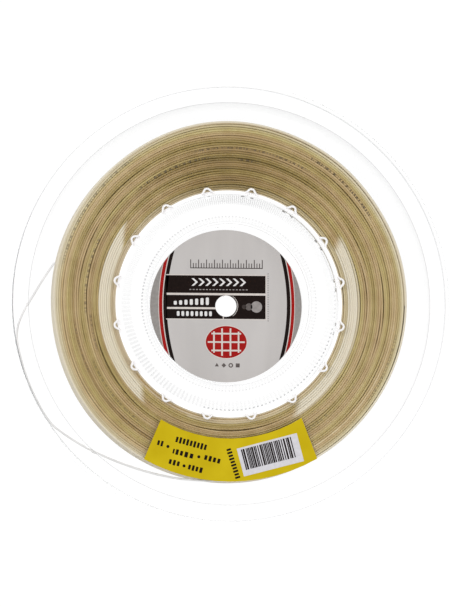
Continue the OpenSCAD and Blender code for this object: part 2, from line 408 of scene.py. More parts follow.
flange = {
    "webThickness": 1.6,
    "rimRise": 2.6,
    "bandWidth": 9.8,
    "lipThickness": 2.6,
    "openingRadius": 49.2,
    "collarTop": 1.2,
    "collarSlope": 3.4,
    "edgeRound": 1.5,
    "smallRound": 0.35,
    "film": 0.03,            # air left between the web and the hub parts that it touches
    "steps": 1280,           # columns of the mesh round the flange
    "ribCount": 160,
    "ribHeight": 0.35,
    "ribEnd": 0.5,           # length over which a rib runs out
    "outerRibs": (60.8, 65.4),
    "windowRadii": (65.6, 69.5),
    "windowCells": 6,        # half a window's width, in columns
    "notchTurns": (194.5, 211),
    "notchCells": 5,
    # how plainly the painted shade line of each inner corner shows, as a share and where it is
    # stronger round the flange: a level and humps of (direction, spread, height)
    "lines": {
        "lip": (1.0, 0.12, [(45, 60, 0.3), (186, 32, 0.88)]),
        "rise": (0.56, 1, [(285, 35, -0.5)]),
        # the soft grey ramp inside the rise is painted shade, towards the top
        "shade": (0.3, 0, [(72, 80, 1)]),
        "collar": (0.2, 1, []),
        "foot": (0.75, 0.35, [(165, 40, 0.65)]),
        "collarRibs": (0.1, 1, []),
        "ribs": (0.62, 0.2, [(85, 25, 0.8), (222, 35, 0.4)]),
    },
    "shadeWidth": 7.5,       # of the soft grey inside the rise
    "rearShare": 0.12,       # of that on the rear flange, which lies behind the other one
    # beads of grey beside the drum: first and last direction, strength, beads to a rib
    "dottedArcs": [(255, 348, 0.85, 1), (352, 368, 0.4, 1), (13, 30, 0.8, 2), (37, 55, 0.4, 1)],
}


def flangePlaces(v):
    # radii of the collar's top edge and foot, the band's inner edge and the turned edge's inner
    # face, and the band's height over the web's inner face
    slopeTop = v["openingRadius"] + v["collarTop"]
    lipIn = flangeRadius - v["lipThickness"]
    return (slopeTop, slopeTop + v["collarSlope"], lipIn - v["bandWidth"], lipIn,
            v["webThickness"] + v["rimRise"])


def flangeProfile(v, lipDrop):
    # half section: inner face at height 0, outer side up, walked from the opening's inner
    # edge over the outer side to the rim and back underneath
    slopeTop, foot, rise, lipIn, top = flangePlaces(v)
    web, film, small = v["webThickness"] - v["film"], v["film"], v["smallRound"]
    curveAt = rise - v["rimRise"]
    ribStart, ribStop = v["outerRibs"]
    slopeShare = np.linspace(0.12, 0.94, 8)[:, None]
    slope = np.array([slopeTop, top]) * (1 - slopeShare) + np.array([foot, web]) * slopeShare
    ribRadii = np.concatenate([[ribStart, ribStart + v["ribEnd"] / 2],
                               np.linspace(ribStart + v["ribEnd"], ribStop - v["ribEnd"], 3),
                               [ribStop - v["ribEnd"] / 2, ribStop]])
    ribs = np.stack([ribRadii, np.full(len(ribRadii), web)], 1)
    outline = np.concatenate([
        corner((v["openingRadius"], film), small),
        corner((v["openingRadius"], top), small),
        corner((slopeTop, top), small),
        corner(slope),
        corner((foot, web), small),
        corner([(foot + 0.6, web), (ribStart - 1.2, web), (ribStart - 0.7, web)]),
        corner(ribs),
        corner([(v["windowRadii"][0] + more, web) for more in (0, 0.25, 0.7, 1.1)]),
        corner((v["windowRadii"][1], web)),
        corner([(curveAt - 2.4, web), (curveAt - 1.2, web)]),
        corner(arcPoints(curveAt, top, v["rimRise"] + film, -90, -8, 6)),
        corner((curveAt + v["rimRise"] + film, top), small),
        corner([(r, top) for r in (curveAt + v["rimRise"] + 0.8, lipIn - 0.6, lipIn, lipIn + 0.6)]),
        corner(arcPoints(flangeRadius - v["edgeRound"], top - v["edgeRound"], v["edgeRound"],
                         90, 0, 5)),
        corner([(flangeRadius, 0)]),
        corner((flangeRadius, -lipDrop), small),
        corner((lipIn, -lipDrop), small),
        corner([(lipIn, 0)]),
        corner((lipIn, top - v["webThickness"]), 0.6),
        corner(arcPoints(curveAt, top, top - film,
                         -math.degrees(math.asin(v["webThickness"] / top)), -90, 6)),
        corner([(v["windowRadii"][1], film), (v["windowRadii"][0], film)]),
    ])
    return roundedLoop(outline)


def ribLift(v, profile, steps):
    # height of the ribs over the profile: half-round ridges that run out at both ends
    column = np.arange(steps)
    ridge = np.maximum(0, np.cos(2 * math.pi * (column * v["ribCount"] / steps - 0.5)))
    slopeTop, foot, rise, lipIn, top = flangePlaces(v)
    upper = (profile[:, 1] > v["webThickness"] / 2) & (profile[:, 1] < top - 0.01)
    reach = np.zeros(len(profile))
    for low, high in ((slopeTop, foot), v["outerRibs"]):
        inward = np.minimum(profile[:, 0] - low, high - profile[:, 0]) / v["ribEnd"]
        reach = np.maximum(reach, np.where(upper, np.clip(inward, 0, 1), 0))
    reach = reach * reach * (3 - 2 * reach)
    return v["ribHeight"] * reach[:, None] * ridge[None, :]


def paintedShadeLines(v, profile, steps):
    # where the grey lines of painted shade lie: a share for each point of the section, and round
    # the flange rows of dots at the collar's foot and beside the drum and strokes along the ribs'
    # flanks.
    # Each is stronger towards one side: there the walls lean away from the light
    r, z = profile[:, 0:1], profile[:, 1:2]
    slopeTop, foot, rise, lipIn, top = flangePlaces(v)
    turn = np.arange(steps)[None, :] / steps
    degrees = 360 * turn
    upper = z > v["webThickness"] / 2
    ribTurn = 2 * math.pi * (turn * v["ribCount"] - 0.5)
    valley, flanks = 0.5 - 0.5 * np.cos(ribTurn), 0.5 - 0.5 * np.cos(2 * ribTurn)
    above = np.sin(2 * math.pi * turn)
    low, high = v["outerRibs"]
    strokes = (between(r, low - 0.1 + 0.7 * above, high + 0.8 + 0.4 * above, 0.6)
               * (np.clip(above + 0.5, 0, 1) * (flanks - valley) + valley))
    places = {
        "lip": np.abs(r - lipIn) < 0.1,
        "rise": (np.abs(r - rise) < 0.25) * (z > top - 0.9),
        "shade": np.clip((r - rise) / v["shadeWidth"] + 1, 0, 1) * (r < rise + 0.1),
        "collar": np.abs(r - slopeTop) < 0.3,
        "foot": (np.abs(r - foot) < 0.4) * valley,
        "collarRibs": (r > slopeTop + 0.4) * (r < foot - 0.4) * valley,
        "ribs": strokes,
    }
    line = np.zeros((len(profile), steps))
    for name, (share, level, rows) in v["lines"].items():
        strength = share * (level + humps(degrees, rows))
        line = np.maximum(line, strength * upper * places[name])
    for first, last, strength, beads in v["dottedArcs"]:
        within = between((degrees - first) % 360 + first, first, last, 1)
        bead = np.clip(0.2 + 1.2 * np.cos(2 * math.pi * turn * v["ribCount"] * beads), 0, 1)
        line = np.maximum(line, upper * (np.abs(r - high) < 0.3) * strength * within * bead)
    return line


def makeFlange(name, node, v, innerFace, side, notchTurns):
    # the half section carried round the axis, with the ribs' height added and the claws'
    # windows and the notches cut out; side is -1 for the rear flange, which is turned over
    low, high = extent(node)
    lipDrop = (innerFace - low[2]) if side > 0 else (high[2] - innerFace)
    profile = flangeProfile(v, lipDrop)
    steps = v["steps"]
    points = revolvePoints(profile, steps)
    points[..., 2] += ribLift(v, profile, steps)
    points[..., 2] = innerFace + side * points[..., 2]
    quads = gridFaces(len(profile), steps, closeRows=True)
    keep = np.ones(quads.shape[:2], bool)
    extra = []

    def at(row, column):
        return row * steps + column % steps

    def cut(first, last, gone, joined, wall):
        # takes the cells of some rows away between two columns; quads join pairs of rows
        # across the cut's wall, and a face along the wall closes each end
        cells = np.arange(first, last)
        for start, stop in gone:
            keep[start:stop, cells % steps] = False
        for a, b in joined:
            extra.extend([at(a, c), at(b, c), at(b, c + 1), at(a, c + 1)] for c in cells)
        extra.append([at(row, first) for row in wall])
        extra.append([at(row, last) for row in wall[::-1]])

    web = v["webThickness"] - v["film"]
    topIn, topOut = (nearest(profile, r, web) for r in v["windowRadii"])
    lowIn, lowOut = (nearest(profile, r, v["film"]) for r in v["windowRadii"])
    for claw in range(clawCount):
        middle = int((claw + 0.5) * steps / clawCount)
        cut(middle - v["windowCells"], middle + v["windowCells"],
            [(topIn, topOut), (lowOut, lowIn)], [(topIn, lowIn), (lowOut, topOut)],
            [*range(topIn, topOut + 1), *range(lowOut, lowIn + 1)])
    outside = nearest(profile, flangeRadius, 0)
    inside = nearest(profile, flangeRadius - v["lipThickness"], 0)
    for turn in notchTurns:
        first = round(turn / 360 * steps - v["notchCells"] / 2)
        cut(first, first + v["notchCells"], [(outside, inside)], [(outside, inside)],
            range(outside, inside + 1))
    faces = quads[keep].tolist() + extra
    if side < 0:
        faces = [face[::-1] for face in faces]
    # painted shade: the grey lines, on the rear flange only a share of them
    line = paintedShadeLines(v, profile, steps) * (1 if side > 0 else v["rearShare"])
    piece = addPiece(name, points, faces, crystal,
                     attributes={"line": line, "rear": np.full_like(line, side < 0)})
    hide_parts(node)
    print(name, "made,", len(faces), "faces")


clawCount = 16
flangeRadius = float(extent("rear_flange")[1][0])
flangeDepth = flange["webThickness"] + flange["rimRise"]
frontInner = float(extent("front_flange")[1][2]) - flangeDepth    # inner faces of the webs
rearInner = float(extent("rear_flange")[0][2]) + flangeDepth
makeFlange("frontFlange", "front_flange", flange, frontInner, 1, flange["notchTurns"])
makeFlange("rearFlange", "rear_flange", flange, rearInner, -1, ())

winding = {
    "diameter": 1.3,
    "flatWidth": 1.42,       # the turns on the flat sides are pressed a little wider
    "outerRadius": 109.2,
    "innerRadius": 69.5,
    "sideGap": 0.35,         # between the winding and each web
    "faceTurns": 30,
    "tuck": 0.35,            # of the first and last flat turns under the edges of the winding
    "ringsPerTurn": 256,
    "sides": 8,
    "heartDepth": 1.15,      # of the inner layers under the flat sides
    "seed": 7,
    # where the winding bulges or is drawn in: direction, spread in degrees, height
    "bulges": [(90, 34, 3.7), (20, 35, 1.8), (52, 14, 0.9), (140, 24, 0.1), (30, 46, -0.6),
               (190, 24, -1.3), (315, 26, -0.6)],
    # gaps between turns on the front side: radius, direction, half length in degrees, width
    "frontGaps": [
        (94.8, 2, 22, 0.7), (87.2, 24, 20, 0.9), (84.7, 8, 26, 0.5), (80.7, 5, 34, 0.6),
        (98.6, 42, 18, 0.5), (87.5, 56, 16, 0.5), (76.2, 94, 26, 0.7), (80.4, 104, 22, 0.6),
        (90.2, 140, 18, 0.6), (93.0, 160, 28, 0.8), (97.2, 136, 22, 0.5), (87.6, 165, 42, 0.8),
        (81.2, 166, 26, 0.6), (91.6, 190, 18, 0.6), (84.0, 208, 28, 0.7), (95.7, 232, 20, 0.6),
        (89.3, 310, 16, 0.7), (83.0, 325, 24, 0.6), (87.6, 340, 20, 0.8), (93.9, 350, 18, 0.6),
        (100.5, 330, 24, 0.4), (101.2, 200, 30, 0.4), (73.4, 250, 30, 0.5), (77.8, 272, 24, 0.6),
    ],
    "rearGaps": [(90, 30, 40, 0.7), (84, 150, 30, 0.6), (97, 250, 36, 0.6), (78, 320, 24, 0.6)],
    # turns that carry the gauge print: radius, first and last direction, strength
    "prints": [
        (101.8, 32, 61, 1.0), (93.8, 59, 103, 0.8), (88.4, 79, 128, 0.9), (105.6, 124, 166, 0.6),
        (88.3, 153, 184, 0.7), (96.0, 187, 206, 0.5), (90.8, 203, 232, 0.5), (86.0, 184, 200, 0.6),
        (104.9, 326, 350, 0.5), (90.2, 302, 312, 0.6),
    ],
    # crescents of painted light near the drum: first and last direction at the inner and at the
    # outer edge
    "paintedLightCrescents": [(-56, -62, 29, 33), (151, 140, 225, 231)],
    "paintedLightRadii": (73.4, 80.6),
}


def slowWaves(random, turnCount, around, terms):
    # smooth unevenness: a sum of sines of the turn's number and of the direction round it
    wave = np.zeros_like(around)
    for reach, rate, strength in terms:
        wave += strength * np.sin(rate * turnCount + reach * around + random.uniform(0, 6.28))
    return wave


def bulge(v, radius, around):
    # how far the winding stands out of round: humps that grow from the drum outwards
    share = np.clip((radius - v["innerRadius"])
                    / (v["outerRadius"] - v["innerRadius"]), 0, 1)
    return share * humps(np.degrees(around), v["bulges"])


def gapShift(gaps, radius, around):
    # turns beside a gap give way: outwards beyond it and inwards below it, less with distance,
    # along a stretch that opens and closes as a raised cosine
    degrees = np.degrees(around)
    shift = np.zeros_like(radius)
    for gapRadius, direction, halfLength, width in gaps:
        stretch = np.clip(np.abs(apart(direction, degrees)) / halfLength, 0, 1)
        away = radius - gapRadius
        shift += (width / 2 * np.tanh(away / 0.3) * np.exp(-np.abs(away) / 4)
                  * (0.5 + 0.5 * np.cos(math.pi * stretch)))
    return shift


def faceLook(v, radius, around, share, random):
    # tone, paleness that is mostly painted light, hue and print of the string on a flat side, by
    # place
    degrees = np.degrees(around)
    tone = 0.56 + slowWaves(random, share, around, [(1, 2.9, 0.05), (0, 4.7, 0.06), (2, 1.3, 0.04),
                                                    (1, 0.6, 0.05), (3, 3.6, 0.04)])
    # darker towards the top inside radius 104, lighter beyond radius 98 and a little towards the right
    tone += 0.04 * np.cos(around - 0.3)
    top = humps(degrees, [(90, 32, 1)])
    tone -= 0.36 * top * np.clip((104 - radius) / 14, 0, 1)
    tone += 0.16 * np.clip((radius - 98) / 5, 0, 1)
    low, high = v["paintedLightRadii"]
    height = (radius - low) / (high - low)
    paintedLightCrescent = np.zeros_like(radius)
    for firstLow, firstHigh, lastLow, lastHigh in v["paintedLightCrescents"]:
        first = firstLow + (firstHigh - firstLow) * height
        last = lastLow + (lastHigh - lastLow) * height
        middle = (first + last) / 2
        inside = 1 - np.abs(apart(0, degrees - middle)) / ((last - first) / 2)
        paintedLightCrescent = np.maximum(paintedLightCrescent, np.clip(inside * 12, 0, 1))
    # pale paints light: crescents of painted light left and right of the drum, and painted light on
    # the outermost turns, held back towards the top and two other directions; the turns next to the
    # drum are paler too, less at the top
    pale = 0.85 * paintedLightCrescent * between(radius, low, high, 1.0)
    pale = np.maximum(pale, 0.3 * (radius < low) * (radius > 71) * (1 - 0.8 * top))
    lightHeldBack = humps(degrees, [(90, 32, 0.5), (328, 32, 0.5), (218, 20, 0.3)])
    pale = np.maximum(pale, 0.6 * np.clip((radius - 104) / 3, 0, 1) * (1 - lightHeldBack))
    olive = 0.5 + 0.5 * np.sin(radius * 0.78 + 1.1 * np.sin(around + 0.6) + 0.4)
    printed = np.zeros_like(radius)
    for place, first, last, strength in v["prints"]:
        span = between(degrees % 360, first, last, 1.5)
        printed = np.maximum(printed, strength * span * (np.abs(radius - place) < 0.61))
    return {"tone": np.clip(tone, 0, 1), "pale": pale, "olive": olive, "printed": printed}


def makeFace(name, node, v, height, side, gaps, ringsPerTurn, sides, random):
    # one side of the winding: a flat spiral of string that wanders a little and lies deeper
    # in places; neighbouring turns touch, except at the gaps
    radius = v["diameter"] / 2
    start = v["innerRadius"] + radius + v["tuck"]
    stop = v["outerRadius"] - radius - v["tuck"]
    share = np.arange(v["faceTurns"] * ringsPerTurn + 1) / ringsPerTurn
    around = -2 * math.pi * share
    spiral = start + (stop - start) * share / v["faceTurns"]
    wander = slowWaves(random, share, around, [(1, 0.9, 0.12), (2, 1.7, 0.07), (1, 2.6, 0.05),
                                               (3, 0.5, 0.06)])
    depth = 0.30 + slowWaves(random, share, around, [(1, 2.2, 0.08), (2, 4.1, 0.06),
                                                     (3, 3.0, 0.05), (0, 5.3, 0.04)])
    place = spiral + wander + bulge(v, spiral, around) + gapShift(gaps, spiral, around)
    path = np.stack([place * np.cos(around), place * np.sin(around),
                     height - side * np.clip(depth, 0, 1)], 1)
    look = faceLook(v, spiral, around, share, random)
    piece = addTube(name, path, radius, sides, honeyNylon, look,
                    wide=v["flatWidth"] / v["diameter"])
    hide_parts(node)


def makeWinding(v):
    # a spiral on each flat side, a helix inside and outside, and a ring for the inner layers
    random = np.random.default_rng(v["seed"])
    radius = v["diameter"] / 2
    low = rearInner + v["sideGap"] + radius
    high = frontInner - v["sideGap"] - radius
    makeFace("windingFront", "string_front_turns", v, high, 1, v["frontGaps"],
             v["ringsPerTurn"], v["sides"], random)
    makeFace("windingRear", "string_rear_turns", v, low, -1, v["rearGaps"], 192, 6,
             random)
    # the helixes are paler, the outer one as painted light
    for name, centre, rings, pale in (("windingOuter", v["outerRadius"] - radius, 240, 0.85),
                                      ("windingInner", v["innerRadius"] + radius, 160, 0.45)):
        # a helix between one flat turn at each end
        turns = math.floor((high - low) / v["diameter"])
        share = np.arange((turns + 2) * rings + 1) / rings
        around = -math.pi / 2 - 2 * math.pi * share
        place = centre + bulge(v, np.full_like(around, centre), around)
        climb = np.clip((share - 1) / turns, 0, 1)
        path = np.stack([place * np.cos(around), place * np.sin(around),
                         low + (high - low) * climb], 1)
        tone = 0.7 + slowWaves(random, share, around, [(1, 2.9, 0.06), (0, 4.7, 0.08)])
        piece = addTube(name, path, radius, 8, honeyNylon, {
            "tone": tone, "pale": np.full_like(tone, pale), "olive": np.full_like(tone, 0.3),
            "printed": np.zeros_like(tone)})
        if name == "windingOuter":
            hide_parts("string_winding")
    inner, outer = v["innerRadius"] + v["diameter"], v["outerRadius"] - 1.5
    sunk = v["heartDepth"]
    points = revolvePoints(section(inner, outer, low + sunk, high - sunk), 180)
    across = np.hypot(points[..., 0], points[..., 1])
    points[..., :2] *= (1 + bulge(v, across, np.arctan2(points[..., 1], points[..., 0]))
                        / across)[..., None]
    heart = addPiece("windingHeart", points, ringFaces(4, 180), heartNylon)
    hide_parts("string_core")
    print("winding made")


makeWinding(winding)

hub = {
    "drumRadius": 69.3,
    "drumWall": 1.3,
    "plate": 1.6,
    "floorDrop": 2.4,
    "spigotWall": 1.4,
    "spigotGap": 0.4,
    "boreRadius": 6.4,
    "smallRound": 0.35,
    "steps": 480,
    "tongueWidth": 3.2,
    "tongueInset": 0.1,
    "headWidth": 4.6,
    "headReach": 2.4,
    "headTip": 1.3,
    "headThickness": 1.4,
    "headRound": 0.55,
}


def hubProfile(v, rearFace, frontFace):
    # half section of the drum, its plate and the sunk floor, walked from the spindle hole up
    small = v["smallRound"]
    drumIn = v["drumRadius"] - v["drumWall"]
    spigot = flange["openingRadius"] - v["spigotGap"]
    cup = spigot - v["spigotWall"]
    plateTop = rearFace + v["plate"]
    floorTop = plateTop - v["floorDrop"]
    floorLow = floorTop - v["plate"]
    return roundedLoop([
        (v["boreRadius"], floorLow, small), (v["boreRadius"], floorTop, 0.1),
        (cup, floorTop, small), (cup, plateTop, small), (drumIn, plateTop, 0.6),
        (drumIn, frontFace, 0.15), (v["drumRadius"], frontFace, 0.15),
        (v["drumRadius"], rearFace, small), (spigot, rearFace, 0.15),
        (spigot, floorLow, small)])


def turned(points, turn):
    # points turned about Z
    c, s = math.cos(turn), math.sin(turn)
    return points @ np.array([[c, s, 0], [-s, c, 0], [0, 0, 1]])


def clawParts(v, face, side):
    # tongues as boxes that start inside the drum's wall, and heads as bell-shaped pads
    # whose outline shrinks over a quarter round at the top
    drumIn = v["drumRadius"] - v["drumWall"]
    web = flange["webThickness"]
    a, b = drumIn + v["tongueInset"], v["drumRadius"] - v["tongueInset"]
    half = v["tongueWidth"] / 2
    foot, tip = drumIn + v["drumWall"] / 2, v["drumRadius"] + v["headReach"] - v["headTip"]
    heights = face + side * np.array([-1.0, web + v["headThickness"] / 2])
    tongue = np.array([[(a, -half, z), (b, -half, z), (b, half, z), (a, half, z)]
                       for z in heights])
    outline = np.concatenate([
        [(foot, -v["headWidth"] / 2), (v["drumRadius"], -v["headWidth"] / 2)],
        arcPoints(tip, 0, v["headTip"], -75, 75, 10),
        [(v["drumRadius"], v["headWidth"] / 2), (foot, v["headWidth"] / 2)]])
    centre = outline.mean(0)
    rings = []
    for share in np.linspace(0, 1, 5):
        turn = share * math.pi / 2
        shrink = 1 - v["headRound"] * (1 - math.cos(turn)) / (v["headWidth"] / 2)
        z = v["headThickness"] - v["headRound"] * (1 - math.sin(turn))
        rings.append(np.column_stack([centre + (outline - centre) * shrink,
                                      np.full(len(outline), face + side * (web + z))]))
    base = np.column_stack([outline, np.full(len(outline), face + side * web)])
    return tongue, np.stack([base] + rings)


def roundClaws(stack, way):
    # copies of a stack of rings, one at each claw
    rows, columns = stack.shape[:2]
    points, faces = [], []
    for claw in range(clawCount):
        faces += stackFaces(rows, columns, claw * rows * columns, way)
        points.append(turned(stack.reshape(-1, 3), 2 * math.pi * (claw + 0.5) / clawCount))
    return np.concatenate(points), faces


def bothEnds(makeStacks):
    # what a function of a web's face and its side makes at both ends of the drum, each kind
    # of stack put together as one set of points and faces
    kinds = []
    for near, far in zip(makeStacks(frontInner, 1), makeStacks(rearInner, -1)):
        (points, faces), (more, others) = roundClaws(*near), roundClaws(*far)
        shifted = [[i + len(points) for i in face] for face in others]
        kinds.append((np.concatenate([points, more]), faces + shifted))
    return kinds


def joinTo(piece, points, faces):
    # a closed form joined into a piece
    operand = addMesh("joined", points, faces)
    join = piece.modifiers.new("join", "BOOLEAN")
    join.operation, join.solver, join.object = "UNION", "EXACT", operand
    bpy.context.view_layer.objects.active = piece
    bpy.ops.object.modifier_apply(modifier=join.name)
    bpy.data.objects.remove(operand)


def makeHub(v):
    # the half section carried round the axis, with the claws joined in at both ends
    profile = hubProfile(v, rearInner, frontInner)
    steps = v["steps"]
    piece = addPiece("hubDrum", revolvePoints(profile, steps), ringFaces(len(profile), steps),
                     crystal)
    for points, faces in bothEnds(lambda face, side: [
            (part, side) for part in clawParts(v, face, side)]):
        joinTo(piece, points, faces)
    piece.data.set_sharp_from_angle(angle=math.radians(35))
    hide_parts("hub_drum")
    print("hub made,", len(piece.data.polygons), "faces")


# the beads of painted highlight round the claws
clawHighlight = {
    "beadRadius": 0.72,
    "reach": 2.9,            # of the bell-shaped edge out past the drum
    "spread": 2.4,           # of the bell
    "halfLength": 3.7,
    "rings": 26,
    "sides": 8,
}


def makeClawHighlights(v):
    # a white bead of painted highlight round each claw, where the clear claw's edge shows
    # bright: a bead along a bell curve, whose height over the drum is the reach times
    # exp(-|y / spread|^3)
    y = np.linspace(-v["halfLength"], v["halfLength"], v["rings"])
    bell = hub["drumRadius"] - 0.3 + v["reach"] * np.exp(-np.abs(y / v["spread"]) ** 3)

    def beads(face, side):
        height = face + side * (flange["webThickness"] + v["beadRadius"])
        path = np.stack([bell, y, np.full_like(y, height)], 1)
        return [(tubeGrid(path, v["beadRadius"], v["sides"]), -1)]

    points, faces = bothEnds(beads)[0]
    addPiece("clawHighlights", points, faces, paintedHighlight, 60)


# the ring of painted light over the drum's edge
paintedGlowRing = {"inner": 67.9, "outer": 69.85, "thickness": 0.2, "steps": 480}


def makePaintedGlowRing(v):
    # a thin white ring in the front web over the drum's edge, glowing a little: painted light
    # for the light that the clear drum carries up into the web
    top = frontInner + 0.02
    profile = section(v["inner"], v["outer"], top - v["thickness"], top)
    addPiece("paintedGlowRing", revolvePoints(profile, v["steps"]), ringFaces(4, v["steps"]),
             paintedGlow)


makeHub(hub)
makeClawHighlights(clawHighlight)
makePaintedGlowRing(paintedGlowRing)

inkThickness = 0.03


def coatedPaper(name, dark, light, stretch):
    # coated label paper: smooth and satin, its tone drifting a little across the sheet; a stretch
    # below 1 draws the drift out into streaks up and down, as painted sheen
    return mottled(name, 14.29, 2.0, dark, light,
                   {"Roughness": 0.45, "Specular IOR Level": 0.06}, stretch)


def printedInk(name, dark, light):
    # offset ink on coated paper: even and satin, with a faint mottle
    return mottled(name + "Ink", 1.667, 2.0, dark, light,
                   {"Roughness": 0.4, "Specular IOR Level": 0.06})


def placed(outline, x, y, turn=0.0):
    # an outline drawn about the origin, turned in degrees and moved to (x, y); an outline
    # with a hole is a pair, and both go there
    if isinstance(outline, tuple):
        return tuple(placed(part, x, y, turn) for part in outline)
    c, s = math.cos(math.radians(turn)), math.sin(math.radians(turn))
    return np.asarray(outline, float) @ np.array([[c, s], [-s, c]]) + (x, y)


def bar(width, height, rounding=0.0):
    # rectangle about the origin, with its corners rounded
    return roundedLoop([(x * width / 2, y * height / 2, rounding)
                        for x, y in ((-1, -1), (1, -1), (1, 1), (-1, 1))])


def oval(width, height, count=32):
    # an ellipse about the origin; with few points it is a regular shape
    turn = np.arange(count) * 2 * math.pi / count
    return np.stack([width / 2 * np.cos(turn), height / 2 * np.sin(turn)], 1)


def chevron(width, height, stroke):
    # an arrowhead without a shaft, pointing along +X
    w, h = width / 2, height / 2
    return np.array([(-w, -h), (-w + stroke, -h), (w, 0), (-w + stroke, h), (-w, h),
                     (w - stroke, 0)])


def arcBand(radius, width, start, end, count=24):
    # outline of a stripe along a circle about the origin
    outer = arcPoints(0, 0, radius + width / 2, start, end, count)
    return np.concatenate([outer, arcPoints(0, 0, radius - width / 2, end, start, count)])


def addPrint(name, shapes, low, material):
    # print that stands proud by the thickness of its ink: every flat outline is carried up
    # into a closed prism; a pair of outlines with as many points makes a shape with a hole
    points, faces, start = [], [], 0
    for shape in shapes:
        holed = isinstance(shape, tuple)
        outer, inner = shape if holed else (shape, None)
        rows = [(outer, low), (outer, low + inkThickness)]
        if holed:
            rows += [(inner, low + inkThickness), (inner, low)]
        count = len(outer)
        points += [np.column_stack([xy, np.full(count, z)]) for xy, z in rows]
        if holed:
            faces += (np.array(ringFaces(4, count, -1)) + start).tolist()
        else:
            faces += stackFaces(2, count, start)
        start += len(rows) * count
    return addPiece(name, np.concatenate(points), faces, material, 30)


silverLabel = {
    "reach": 47.0,           # the sheet is cut a little larger than the floor's flat middle
    "stripeBow": 0.0042,     # the side stripes follow x = middle - bow * (y - centre)^2
    "stripeCentre": 0.6,
    # side, place of the stripe's middle, width
    "blackStripes": [(-1, 37.6, 2.2), (1, 38.8, 2.2)],
    "redStripes": [(-1, 40.35, 2.0), (1, 41.45, 1.9)],
    "hairlines": [(-1, 39.0, 0.45), (1, 40.2, 0.5), (-1, 41.6, 0.4), (1, 42.6, 0.4)],
    "sideFields": [(-1, 41.8), (1, 42.8)],
    "panel": (-36.9, 24.5, -7.9, 18.8),      # left, right, bottom, top
    "holeMargin": 0.25,
    "outline": 0.6,          # width of the pale line round the panel
    "perforation": {"out": 1.6, "size": 0.8, "pitch": 1.45},
    # pale bars across the panel: middle, width, height
    "rules": [(-6.05, 7.3, 61.1, 1.3), (-21.4, -1.4, 30.0, 1.2), (-1.6, 6.35, 0.6, 1.1),
              (-1.6, -7.15, 0.6, 1.5)],
    "holeArc": (7.35, 0.3, -55, 55),         # radius, width, first and last direction
    "ruler": {"left": -21.8, "right": 22.5, "foot": 23.4, "tall": 5.2, "short": 3.0, "line": 0.5,
              "pitch": 1.64},
    "chevrons": {"left": -19.3, "pitch": 4.25, "count": 8, "y": 14.7, "size": (4.0, 4.6, 1.5)},
    "smallDashes": {"left": -22.0, "pitch": 2.05, "count": 18, "y": 10.1, "size": (1.2, 0.55)},
    "pills": {"left": -31.3, "pitch": 3.3, "count": 7, "foot": 0.6, "width": 1.9,
              "heights": (2.4, 4.6), "round": 0.7},
    "lowerPills": {"left": -29.5, "pitch": 2.85, "count": 8, "y": -4.8, "size": (1.7, 3.0, 0.7)},
    "dots": [(11.2, 2.6, "dark"), (14.2, 4.4, "brownGrey"), (18.9, 7.0, "shade")],
    "dotsAt": -0.4,
    "emblem": (0.2, -22.2, 25.3, 19.8),      # middle, width and height of the red oval
    "emblemEdge": 0.5,
    "emblemLines": {"line": 1.0, "inset": 1.2, "across": (-7.6, -2.6, 2.6, 7.6),
                    "along": (-5.2, 0, 5.2)},
    "marks": {"y": -36.5, "pitch": 4.3, "left": -5.6, "size": 2.9},
}


def stripeOutline(v, side, inner, outer, labelRadius):
    # a stripe that bows with the label's side and is cut off by the label's edge, so that it
    # runs out to points: x = place - bow * (y - centre)^2, no further out than the circle
    def curves(y):
        bow = v["stripeBow"] * (y - v["stripeCentre"]) ** 2
        return np.sqrt(np.maximum(labelRadius ** 2 - y ** 2, 0)), bow

    y = np.linspace(-labelRadius, labelRadius, 2001)
    rim, bow = curves(y)
    inside = y[inner - bow < rim]
    y = np.linspace(inside[0], inside[-1], 49)
    rim, bow = curves(y)
    near = np.stack([np.minimum(inner - bow, rim), y], 1)
    far = np.stack([np.minimum(outer - bow, rim + 0.001), y], 1)
    return (np.concatenate([far, near[::-1]]) * (side, 1))[::side]


def panelWithHole(v, holeRadius):
    # the dark panel as rays from the hole to the rectangle's edge, corners among them
    left, right, bottom, top = v["panel"]
    corners = [math.atan2(y, x) for x, y in ((left, bottom), (right, bottom), (right, top),
                                             (left, top))]
    turn = np.sort(np.concatenate([np.linspace(-math.pi, math.pi, 72, endpoint=False), corners]))
    c, s = np.cos(turn), np.sin(turn)
    across = np.where(c > 0, right, left) / np.where(np.abs(c) < 1e-9, 1e-9, c)
    upward = np.where(s > 0, top, bottom) / np.where(np.abs(s) < 1e-9, 1e-9, s)
    reach = np.minimum(np.abs(across), np.abs(upward))
    ray = np.stack([c, s], 1)
    return ray * reach[:, None], ray * holeRadius


def row(v, shape):
    # copies of a shape along a line
    return [placed(shape, v["left"] + i * v["pitch"], v["y"])
            for i in range(v["count"])]


def framedBar(left, right, bottom, top):
    # a rectangle between its four sides
    return placed(bar(right - left, top - bottom), (left + right) / 2, (bottom + top) / 2)


